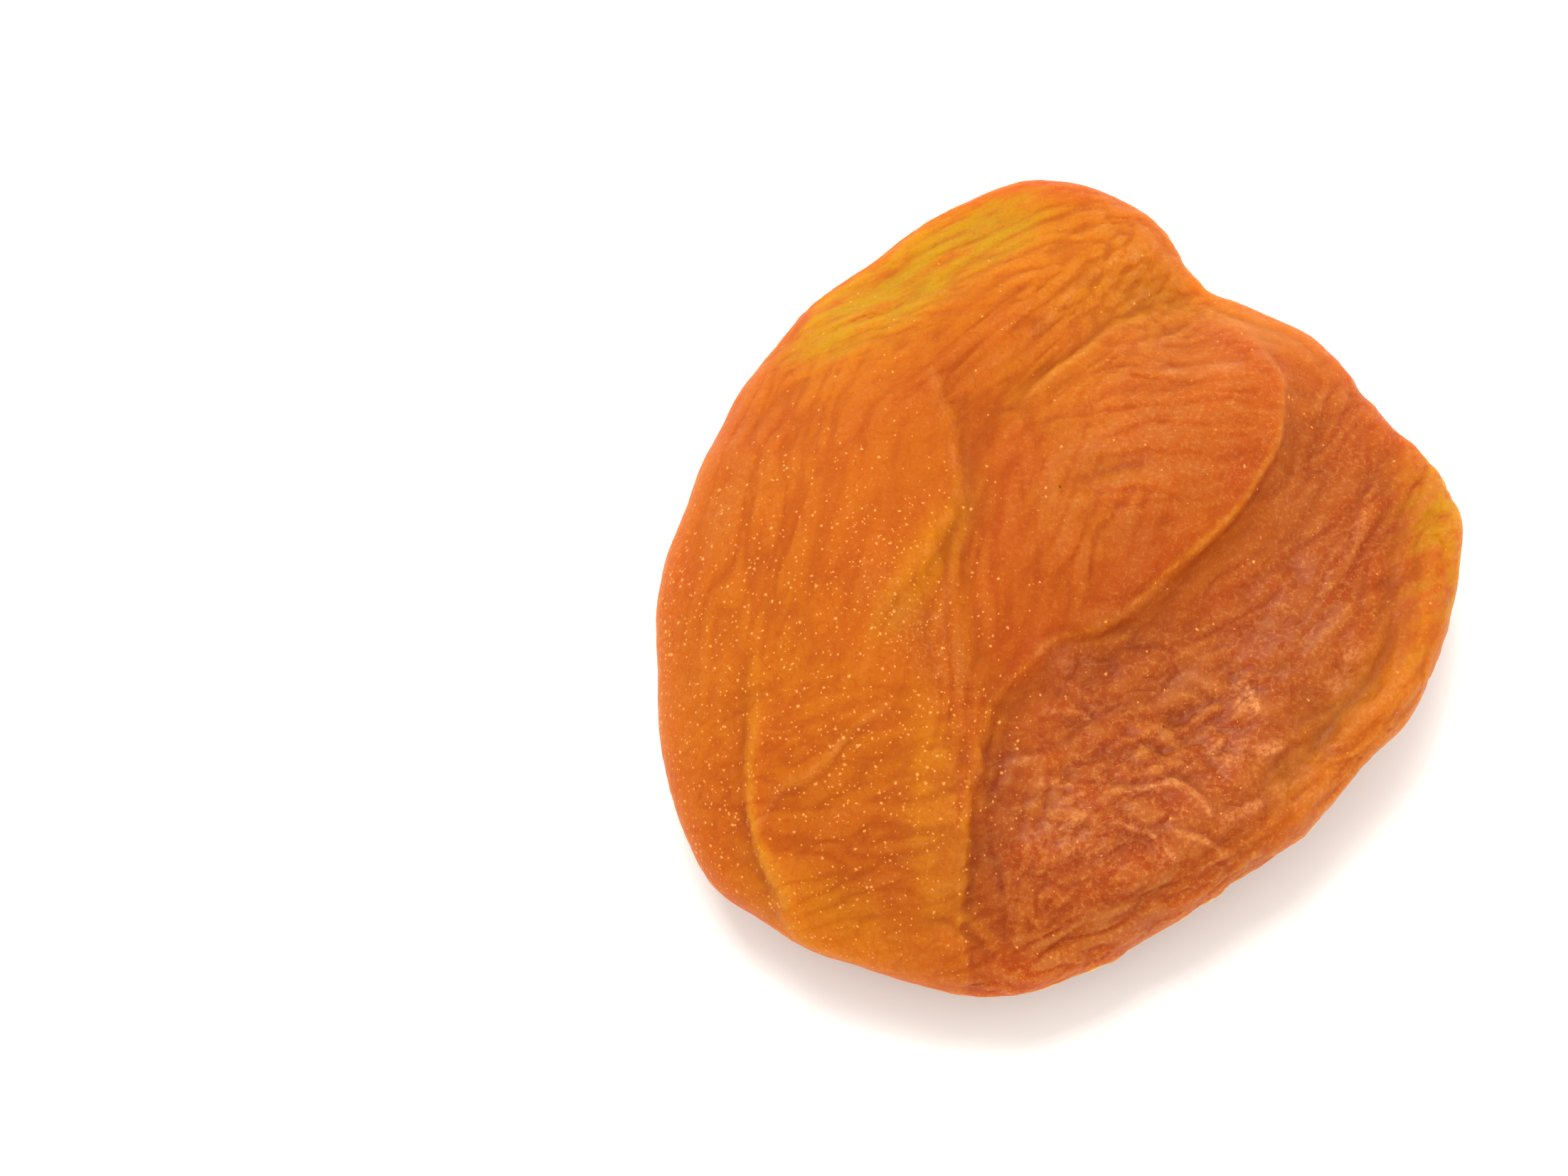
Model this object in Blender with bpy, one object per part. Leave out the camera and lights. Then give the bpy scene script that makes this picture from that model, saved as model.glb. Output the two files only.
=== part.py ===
"""A whole pitted dried apricot, one solid, lying on its underside.

Metres, +Z up. The origin is on the surface the fruit lies on, under the middle of its outline.
The stem dimple is in the outline at the far right, and the fruit's seam starts there.
"""

import math
from collections import namedtuple

import bmesh
import bpy
import numpy as np
from mathutils import Vector, noise

MM = 0.001

# Driving sizes, in millimetres like every size below
HALF_WIDTH = 19.0
RIM_HEIGHT = 5.2
CROWN = 4.1
KEEL = 5.3
CROWN_FULLNESS = 0.72
KEEL_FULLNESS = 0.9
FINE_TRIANGLES = 81920
KEPT_TRIANGLES = 10500

# The outline from above: bearing in degrees from +X, and radius as a share of the half width
OUTLINE = (
    (0, 0.985), (10, 1.02), (20, 0.98), (30, 0.93), (45, 0.945), (62, 0.915), (68, 0.945), (72, 1.0), (77, 1.045),
    (85, 1.085), (94, 1.09), (105, 1.05), (117, 0.98), (130, 0.955), (145, 0.94), (160, 0.925), (172, 0.94),
    (185, 0.99), (198, 1.035), (212, 1.105), (224, 1.125), (236, 1.085), (250, 1.055), (262, 1.065), (272, 0.99),
    (285, 0.915), (300, 0.86), (325, 0.875), (338, 0.93), (350, 0.955),
)
# How far the rim line rises above or sinks below RIM_HEIGHT, by bearing
RIM_WAVE = ((0, 0.9), (40, 0.4), (63, -0.6), (90, 0.3), (130, 0.2), (180, 0.6), (225, -0.3), (270, -0.6), (320, 0.4))

# A soft swelling or hollow: middle, half length, half breadth, turn in degrees, height
Swell = namedtuple("Swell", "x y long short turn height")
UPPER_SWELLS = {
    "left_cheek": Swell(-10.0, -2.5, 12.5, 7.0, 95, 3.0),
    "middle_lobe": Swell(4.5, 5.5, 7.5, 4.5, 40, 1.3),
    "top_lobe": Swell(-3.0, 13.0, 8.0, 4.5, 20, 0.7),
    "thin_top_edge": Swell(-7.0, 15.5, 7.0, 2.6, 38, -1.3),
    "basin": Swell(5.5, -6.0, 9.0, 5.5, 25, -1.1),
    "basin_head": Swell(12.5, 3.0, 6.0, 3.2, 75, -0.5),
    "lower_cheek": Swell(2.5, -14.0, 7.5, 4.5, 25, 1.1),
    "rim_roll": Swell(15.5, -7.0, 8.0, 2.6, 60, 1.6),
    "stem_dimple": Swell(6.8, 14.2, 3.0, 2.2, 45, -1.4),
}
LOWER_SWELLS = {
    "left_cheek_below": Swell(-5.0, -1.5, 8.0, 5.0, 80, 0.4),
    "right_cheek_below": Swell(12.5, -2.0, 7.0, 3.0, 80, 0.5),
    "stem_dimple_below": Swell(6.6, 13.8, 4.0, 3.0, 45, -1.8),
    "hollow_below": Swell(-4.0, 13.0, 7.0, 4.0, 10, -0.9),
    "toe_below": Swell(3.0, -14.0, 8.0, 4.0, 25, -0.6),
}

# A fold: the skin on the left of a path rises over its rounding and settles over its reach, the skin on the right
# drops and comes back over its foot, and the edge slides to the right. Its strengths are spread evenly on the path
Fold = namedtuple("Fold", "path strength rise rounding reach drop foot overhang")
UPPER_FOLDS = {
    "main_fold": Fold(
        ((-4.9, -21.0), (-4.9, -17.0), (-4.8, -14.0), (-4.5, -11.2), (-3.7, -8.4), (-2.5, -6.0), (-0.8, -4.3),
         (1.2, -3.5), (3.4, -2.2), (5.3, -0.5), (7.3, 1.4), (9.1, 3.7), (10.4, 6.8), (10.4, 9.6), (9.3, 12.0),
         (7.3, 14.2)),
        (0.2, 0.45, 0.6, 0.55, 0.45, 0.4, 0.5, 0.7, 0.8, 0.5, 0.3, 0.1), 0.8, 1.5, 5.0, 0.6, 3.0, 0.9),
    "cheek_edge": Fold(
        ((-9.6, -8.5), (-9.1, -4.8), (-8.2, -2.9), (-6.9, -1.2), (-5.9, 0.5), (-5.2, 2.4), (-5.0, 4.4),
         (-5.4, 6.7), (-6.4, 10.5)),
        (0, 0.5, 0.8, 1.0, 1.0, 0.6, 0), 0.2, 1.2, 3.0, 0.18, 2.0, 0.3),
    "outer_tuck": Fold(
        ((-14.3, -5.5), (-14.6, -8.6), (-14.5, -11.0), (-14.1, -13.3), (-13.5, -15.2), (-12.5, -16.9),
         (-11.0, -18.0), (-8.9, -18.9), (-5.5, -19.8)),
        (0, 0.3, 0.6, 0.9, 1.0, 1.0, 0.8, 0.2), 0.4, 1.1, 3.0, 0.4, 1.6, 0.25),
    "bottom_tuck": Fold(
        ((-0.5, -19.3), (-2.6, -18.4), (-4.0, -17.6), (-5.6, -17.3), (-7.4, -17.6)),
        (0, 1.0, 1.0, 0), 0.35, 1.0, 1.5, 0.4, 1.0, 0.2),
    "rim_tuck": Fold(
        ((8.4, -12.4), (10.3, -10.6), (11.6, -8.9), (12.8, -7.2), (14.4, -5.9), (15.4, -4.2)),
        (0, 1.0, 0.6, 1.0, 0), -0.2, 1.4, 2.0, -0.35, 1.6, 0.0),
}
LOWER_FOLDS = {
    "tuck_below": Fold(
        ((-13.0, 6.0), (-10.0, 2.0), (-9.5, -4.0), (-11.5, -9.0)),
        (0, 0.8, 1.0, 0.6, 0), 0.4, 1.4, 2.5, 0.4, 2.0, 0.0),
    "rim_tuck_below": Fold(
        ((13.5, 8.0), (12.0, 3.0), (12.5, -2.0), (11.0, -7.0), (6.0, -12.0)),
        (0, 0.8, 1.0, 0.6, 0), 0.4, 1.4, 2.5, 0.4, 2.0, 0.0),
}

# A valley along a path. A power near 1 makes it sharp and near 2 makes it round
Valley = namedtuple("Valley", "path strength depth width power")
UPPER_VALLEYS = {
    "notch_furrow": Valley(
        ((7.2, 15.2), (5.1, 13.7), (3.3, 12.5), (1.1, 10.8), (-0.7, 9.0), (-2.4, 7.2), (-3.9, 5.0), (-4.6, 1.0)),
        (0.3, 1.0, 0.9, 0.8, 0.5, 0), 0.5, 1.2, 1.2),
    "notch_crease_high": Valley(
        ((7.0, 15.0), (4.5, 14.8), (2.0, 14.0), (-0.5, 12.6), (-2.5, 10.5)), (0.2, 1.0, 0.6, 0), 0.4, 0.9, 1.2),
    "notch_crease_low": Valley(
        ((7.2, 14.4), (5.4, 11.9), (3.0, 10.3), (1.0, 9.9)), (0.2, 1.0, 0.6, 0), 0.35, 0.9, 1.2),
    "roll_foot": Valley(
        ((13.6, 10.0), (15.0, 7.0), (15.4, 3.0), (15.2, 0.0), (14.9, -3.0), (14.0, -5.5), (12.4, -7.1),
         (11.4, -8.5), (10.3, -9.9), (8.8, -11.0), (6.0, -11.9)),
        (0, 0.5, 0.5, 0.6, 1.0, 1.0, 0.7, 0), 0.8, 1.5, 1.5),
    "waist": Valley(
        ((-4.6, 4.0), (-5.0, -1.0), (-5.4, -5.0), (-6.2, -9.0)), (0, 1.0, 1.0, 0), 0.4, 2.4, 2),
    "brow_crease": Valley(
        ((8.2, 14.4), (10.2, 13.4), (12.3, 11.6), (13.8, 9.2)), (0.2, 1.0, 0.6, 0), 0.35, 0.8, 1.2),
}
LOWER_VALLEYS = {
    "seam_below": Valley(
        ((6.8, 15.5), (8.4, 10.0), (8.2, 4.0), (6.5, -3.0), (3.0, -10.0), (-1.0, -17.0), (-2.5, -20.5)),
        (1.0, 1.0, 0.8, 0.8, 1.0, 0.5), 0.9, 1.3, 1.3),
    "crease_below": Valley(
        ((6.0, 14.5), (0.0, 12.5), (-6.0, 8.5), (-10.0, 7.0)), (1.0, 0.8, 0.5, 0), 0.6, 1.2, 1.3),
}

# A family of wrinkles lying one way: middle, half length, half breadth and turn of the patch they cover, turn of the
# wrinkles, length and spacing of a wrinkle, height
Wrinkles = namedtuple("Wrinkles", "x y long short turn lie length spacing height")
UPPER_WRINKLES = {
    "basin": Wrinkles(5.0, -8.0, 11.0, 7.0, 30, 28, 6.0, 2.1, 0.17),
    "basin_cross": Wrinkles(2.0, -11.0, 8.0, 5.0, 40, -30, 4.5, 2.3, 0.14),
    "waist": Wrinkles(-4.5, -3.0, 9.0, 3.0, 80, 80, 8.0, 1.8, 0.20),
    "middle_lobe": Wrinkles(4.5, 6.0, 6.5, 4.5, 40, 12, 5.0, 1.8, 0.20),
    "notch_fan": Wrinkles(1.0, 12.5, 8.0, 4.0, 30, 35, 7.0, 1.9, 0.24),
    "right_slope": Wrinkles(14.0, 4.0, 8.0, 4.0, 80, 60, 6.0, 2.2, 0.22),
    "lower_cheek": Wrinkles(3.0, -15.5, 8.0, 3.0, 25, 30, 5.0, 2.0, 0.22),
    "top_edge": Wrinkles(-8.0, 15.0, 8.0, 2.5, 38, 38, 6.0, 1.8, 0.14),
}
LOWER_WRINKLES = {
    "seam_side": Wrinkles(8.0, 2.0, 12.0, 4.0, 80, 70, 7.0, 2.2, 0.25),
    "far_end": Wrinkles(-5.0, 11.0, 8.0, 5.0, 20, 25, 6.0, 2.3, 0.25),
    "near_end": Wrinkles(0.0, -13.0, 9.0, 5.0, 10, 15, 6.0, 2.3, 0.22),
}

# Dried flesh is uneven everywhere: (distance between lumps, height) of its lumps, and the wander of its folds
LUMPS = ((9.0, 0.45), (4.0, 0.2), (2.2, 0.1))
WANDER, WANDER_SPACING = 0.45, 3.2


def smooth_step(low, high, value):
    share = np.clip((value - low) / (high - low), 0, 1)
    return share * share * (3 - 2 * share)


def round_table(table, bearing):
    """Reads a closed table of (degrees, value) pairs at each bearing, with a smooth curve through the pairs."""
    degrees = np.array([row[0] for row in table], float)
    values = np.array([row[1] for row in table], float)
    degrees = np.concatenate([degrees[-2:] - 360, degrees, degrees[:2] + 360])
    values = np.concatenate([values[-2:], values, values[:2]])
    at = np.degrees(bearing) % 360
    i = np.searchsorted(degrees, at, side="right") - 1
    slope = np.zeros_like(values)
    slope[1:-1] = (values[2:] - values[:-2]) / (degrees[2:] - degrees[:-2])
    span = degrees[i + 1] - degrees[i]
    t = (at - degrees[i]) / span
    return (
        values[i] * (1 + 2 * t) * (1 - t) ** 2
        + values[i + 1] * t * t * (3 - 2 * t)
        + span * (slope[i] * t * (1 - t) ** 2 - slope[i + 1] * t * t * (1 - t))
    )


def smooth_path(points, steps=8):
    """A smooth curve through the points, as a chain of short straight pieces."""
    p = np.array(points, float)
    p = np.vstack([2 * p[0] - p[1], p, 2 * p[-1] - p[-2]])
    chain = [p[1]]
    for a, b, c, d in zip(p, p[1:], p[2:], p[3:]):
        for t in np.arange(1, steps + 1) / steps:
            chain.append(0.5 * (2 * b + (c - a) * t + (2 * a - 5 * b + 4 * c - d) * t**2
                                + (3 * b - a - 3 * c + d) * t**3))
    return np.array(chain)


def beside(path, x, y):
    """Each point's distance left of the path (right is negative), share of the way along it, and its way left."""
    chain = smooth_path(path)
    start, leg = chain[:-1], np.diff(chain, axis=0)
    length = np.hypot(*leg.T)
    from_start = np.stack([x, y], 1)[:, None] - start
    share = np.clip((from_start * leg).sum(2) / length**2, 0, 1)
    off = from_start - share[..., None] * leg
    distance = np.hypot(off[..., 0], off[..., 1])
    nearest = distance.argmin(1)
    rows = np.arange(len(x))
    left = np.stack([-leg[:, 1], leg[:, 0]], 1)[nearest] / length[nearest, None]
    side = np.sign((off[rows, nearest] * left).sum(1))
    travelled = np.concatenate([[0], np.cumsum(length)])
    along = (travelled[nearest] + share[rows, nearest] * length[nearest]) / travelled[-1]
    return side * distance[rows, nearest], along, left


def swell_height(swell, x, y):
    turn = math.radians(swell.turn)
    dx, dy = x - swell.x, y - swell.y
    along = (dx * math.cos(turn) + dy * math.sin(turn)) / swell.long
    across = (dy * math.cos(turn) - dx * math.sin(turn)) / swell.short
    return swell.height * np.exp(-(along**2 + across**2))


def strength_at(strengths, along):
    return np.interp(along, np.linspace(0, 1, len(strengths)), strengths)


def fold_relief(fold, x, y):
    """Height of a fold above the plain skin, and how far its edge slides over the skin on the right."""
    distance, along, left = beside(fold.path, x, y)
    strength = strength_at(fold.strength, along)
    over = np.maximum(distance, 0)
    under = np.maximum(-distance, 0)
    raised = fold.rise * np.sin(math.pi / 2 * np.minimum(over / fold.rounding, 1)) * np.exp(-over / fold.reach)
    sunk = fold.drop * smooth_step(0, 0.9, under) * np.exp(-under / fold.foot)
    slide = fold.overhang * np.exp(-(((distance - 0.5) / 0.9) ** 2)) * strength
    return strength * (raised - sunk), -left * slide[:, None]


def valley_depth(valley, x, y):
    distance, along, _ = beside(valley.path, x, y)
    profile = np.exp(-(np.abs(distance / valley.width) ** valley.power))
    return valley.depth * strength_at(valley.strength, along) * profile


def noise_at(points, spacing, seed):
    """Smooth noise from -1 to 1, whose lumps are the spacing apart."""
    shift = Vector((seed, seed, seed)) * 10
    return np.array([noise.noise(Vector(point) / spacing + shift) for point in points])


def wrinkle_height(wrinkles, x, y, seed):
    """Rounded ridges with narrow creases between them, inside the patch."""
    turn, lie = math.radians(wrinkles.turn), math.radians(wrinkles.lie)
    dx, dy = x - wrinkles.x, y - wrinkles.y
    along = (dx * math.cos(turn) + dy * math.sin(turn)) / wrinkles.long
    across = (dy * math.cos(turn) - dx * math.sin(turn)) / wrinkles.short
    patch = np.exp(-((along**2 + across**2) ** 1.5))
    run = (dx * math.cos(lie) + dy * math.sin(lie)) / wrinkles.length
    step = (dy * math.cos(lie) - dx * math.sin(lie)) / wrinkles.spacing
    ridges = np.abs(noise_at(np.stack([run, step, 0 * run], 1), 1, seed))
    return wrinkles.height * patch * (2 * np.sqrt(ridges) - 1)


def plain_skin(unit):
    """Points of the fruit without its folds, from points of a ball of radius 1."""
    bearing = np.arctan2(unit[:, 1], unit[:, 0])
    reach = HALF_WIDTH * round_table(OUTLINE, bearing)
    x, y = unit[:, 0] * reach, unit[:, 1] * reach
    crown, keel = np.full_like(x, CROWN), np.full_like(x, KEEL)
    for swell in UPPER_SWELLS.values():
        crown += swell_height(swell, x, y)
    for swell in LOWER_SWELLS.values():
        keel += swell_height(swell, x, y)
    away = np.hypot(unit[:, 0], unit[:, 1])
    z = RIM_HEIGHT + away**2 * round_table(RIM_WAVE, bearing)
    up = np.maximum(unit[:, 2], 0) ** CROWN_FULLNESS
    down = np.maximum(-unit[:, 2], 0) ** KEEL_FULLNESS
    return np.stack([x, y, z + up * crown - down * keel], 1)


def wrinkled_skin(points, normals, height):
    """The skin with its folds and valleys, pushed out along its normals."""
    x = points[:, 0] + WANDER * noise_at(points, WANDER_SPACING, 1)
    y = points[:, 1] + WANDER * noise_at(points, WANDER_SPACING, 2)
    upper = smooth_step(-0.3, 0.1, height)
    push = np.zeros_like(x)
    slide = np.zeros((len(x), 2))
    for folds, share in ((UPPER_FOLDS, upper), (LOWER_FOLDS, 1 - upper)):
        for fold in folds.values():
            raised, moved = fold_relief(fold, x, y)
            push += share * raised
            slide += share[:, None] * moved
    for valleys, share in ((UPPER_VALLEYS, upper), (LOWER_VALLEYS, 1 - upper)):
        for valley in valleys.values():
            push -= share * valley_depth(valley, x, y)
    for families, share in ((UPPER_WRINKLES, upper), (LOWER_WRINKLES, 1 - upper)):
        for seed, wrinkles in enumerate(families.values(), 10):
            push += share * wrinkle_height(wrinkles, x, y, seed)
    for seed, (spacing, lump) in enumerate(LUMPS, 3):
        push += lump * noise_at(points, spacing, seed)
    made = points + normals * push[:, None]
    made[:, :2] += slide
    return made


def centred(points):
    """The points moved sideways, so that the middle of their outline is over the origin."""
    middle = (points.min(0) + points.max(0)) / 2
    return points - (middle[0], middle[1], 0)


def apricot_mesh():
    """A fine ball of triangles, moved into the fruit's shape."""
    bm = bmesh.new()
    bmesh.ops.create_icosphere(bm, subdivisions=7, radius=1)
    unit = np.array([v.co for v in bm.verts])
    for vertex, place in zip(bm.verts, plain_skin(unit)):
        vertex.co = place
    bm.normal_update()
    points = np.array([v.co for v in bm.verts])
    normals = np.array([v.normal for v in bm.verts])
    for vertex, place in zip(bm.verts, centred(wrinkled_skin(points, normals, unit[:, 2]))):
        vertex.co = place * MM
    mesh = bpy.data.meshes.new("dried_apricot")
    bm.to_mesh(mesh)
    bm.free()
    mesh.shade_smooth()
    return mesh


def flesh_material():
    material = bpy.data.materials.new("apricot_flesh")
    material.use_nodes = True
    shader = material.node_tree.nodes["Principled BSDF"]
    shader.inputs["Base Color"].default_value = (0.75, 0.19, 0.015, 1)
    shader.inputs["Roughness"].default_value = 0.45
    shader.inputs["Metallic"].default_value = 0
    return material


def surface_cutter():
    """A block under the fruit, whose top is the surface that the fruit lies on."""
    mesh = bpy.data.meshes.new("surface_cutter")
    bm = bmesh.new()
    bmesh.ops.create_cube(bm, size=4 * HALF_WIDTH * MM)
    bmesh.ops.translate(bm, verts=bm.verts, vec=(0, 0, -2 * HALF_WIDTH * MM))
    bm.to_mesh(mesh)
    bm.free()
    cutter = bpy.data.objects.new("surface_cutter", mesh)
    cutter.hide_render = True
    cutter.display_type = "WIRE"
    bpy.context.scene.collection.objects.link(cutter)
    return cutter


def main():
    for old in list(bpy.data.objects):
        bpy.data.objects.remove(old)
    fruit = bpy.data.objects.new("dried_apricot", apricot_mesh())
    bpy.context.scene.collection.objects.link(fruit)
    fruit.data.materials.append(flesh_material())
    soften = fruit.modifiers.new("soften", "SMOOTH")
    soften.factor = 0.5
    soften.iterations = 3
    thin_out = fruit.modifiers.new("thin_out", "DECIMATE")
    thin_out.ratio = KEPT_TRIANGLES / FINE_TRIANGLES
    rest_spot = fruit.modifiers.new("rest_spot", "BOOLEAN")
    rest_spot.object = surface_cutter()
    rest_spot.operation = "DIFFERENCE"


main()
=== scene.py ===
import math
from collections import namedtuple

import bmesh
import bpy
import numpy as np
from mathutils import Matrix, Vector, noise


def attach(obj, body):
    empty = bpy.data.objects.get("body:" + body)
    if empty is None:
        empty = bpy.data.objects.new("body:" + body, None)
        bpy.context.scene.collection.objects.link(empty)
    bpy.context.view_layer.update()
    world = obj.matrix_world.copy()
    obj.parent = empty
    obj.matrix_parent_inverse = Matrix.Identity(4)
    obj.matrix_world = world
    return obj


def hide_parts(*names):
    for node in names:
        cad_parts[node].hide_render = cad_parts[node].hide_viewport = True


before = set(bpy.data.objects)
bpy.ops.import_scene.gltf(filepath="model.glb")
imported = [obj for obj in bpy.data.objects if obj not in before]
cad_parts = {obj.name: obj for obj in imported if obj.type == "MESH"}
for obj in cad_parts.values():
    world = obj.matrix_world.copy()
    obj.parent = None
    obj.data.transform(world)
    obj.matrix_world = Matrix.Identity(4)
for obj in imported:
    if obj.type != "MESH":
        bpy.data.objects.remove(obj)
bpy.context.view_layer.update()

# Viewpoint, floor and light
# The fruit is looked down on from 70 degrees above the floor, by a long lens aimed a little left of it.
# It lies on a seamless white floor, under a broad soft light from above and a warm pale surrounding.
MM = 0.001
LOOK_DOWN = math.radians(70)
VIEW_DISTANCE = 183.75 * MM
AIM = Vector((-12.85, -0.56, 5.0)) * MM
FRUIT_CENTRE = Vector((0, 0, 0.005))
WARM_WHITE = (1, 0.96, 0.9, 1)
FLOOR_WHITE = (0.87, 0.87, 0.87, 1)
FLOOR_RADIUS = 2.0

camera_data = bpy.data.cameras.new("viewpoint")
camera_data.lens = 90
camera_data.sensor_width = 36
camera_data.clip_start = 0.005
camera = bpy.data.objects.new("viewpoint", camera_data)
camera.location = AIM + VIEW_DISTANCE * Vector((0, -math.cos(LOOK_DOWN), math.sin(LOOK_DOWN)))
camera.rotation_euler = (math.pi / 2 - LOOK_DOWN, 0, 0)
bpy.context.collection.objects.link(camera)
bpy.context.scene.camera = camera
bpy.context.scene.view_settings.view_transform = "Standard"

world = bpy.data.worlds.new("pale_surrounding")
world.use_nodes = True
world.node_tree.nodes["Background"].inputs["Color"].default_value = WARM_WHITE
world.node_tree.nodes["Background"].inputs["Strength"].default_value = 1.4
bpy.context.scene.world = world


def soft_light(name, place, size, power, tint):
    """A square light that faces the fruit: place and size in metres, power in watts."""
    data = bpy.data.lights.new(name, "AREA")
    data.size = size
    data.energy = power
    data.color = tint
    lamp = bpy.data.objects.new(name, data)
    lamp.location = place
    lamp.rotation_euler = (FRUIT_CENTRE - Vector(place)).to_track_quat("-Z", "Y").to_euler()
    bpy.context.collection.objects.link(lamp)


soft_light("broad_light", (-0.07, 0.17, 0.45), 0.22, 2.0, (1, 0.985, 0.96))

floor_mesh = bpy.data.meshes.new("white_floor")
floor_form = bmesh.new()
bmesh.ops.create_circle(floor_form, cap_ends=True, segments=96, radius=FLOOR_RADIUS)
floor_form.to_mesh(floor_mesh)
floor_form.free()
floor = bpy.data.objects.new("white_floor", floor_mesh)
bpy.context.collection.objects.link(floor)
floor_paint = bpy.data.materials.new("white_floor")
floor_paint.use_nodes = True
floor_shader = floor_paint.node_tree.nodes["Principled BSDF"]
floor_shader.inputs["Base Color"].default_value = FLOOR_WHITE
floor_shader.inputs["Roughness"].default_value = 0.9
floor_shader.inputs["Specular IOR Level"].default_value = 0.1
floor_mesh.materials.append(floor_paint)

# The flesh
# One whole pitted fruit, dried until its skin sank into folds: a plump cheek, a lobe beside it, and a sunken
# side inside a thick rolled rim. The moist flesh lets light through and is frosted with its own sugar. It is
# the solid's own skin, with finer folds and wrinkles raised on it.

# The distance between the skin's points, in millimetres
SKIN_SPACING = 0.205


def merged_copy(node):
    """The node's loose triangles as one closed skin."""
    same_point = 0.001 * MM
    skin = bmesh.new()
    skin.from_mesh(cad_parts[node].data)
    bmesh.ops.remove_doubles(skin, verts=skin.verts, dist=same_point)
    mesh = bpy.data.meshes.new("apricot_flesh")
    skin.to_mesh(mesh)
    skin.free()
    return mesh


def apply_modifiers(piece):
    """What the piece's modifiers show becomes its plain mesh."""
    mesh = bpy.data.meshes.new_from_object(piece.evaluated_get(bpy.context.evaluated_depsgraph_get()))
    piece.modifiers.clear()
    piece.data = mesh


flesh = bpy.data.objects.new("apricot_flesh", merged_copy("dried_apricot"))
bpy.context.collection.objects.link(flesh)
even_skin = flesh.modifiers.new("even_skin", "REMESH")
even_skin.mode = "VOXEL"
even_skin.voxel_size = SKIN_SPACING * MM
even_skin.use_smooth_shade = True
soften = flesh.modifiers.new("soften", "SMOOTH")
soften.factor = 0.5
soften.iterations = 20
apply_modifiers(flesh)

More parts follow.
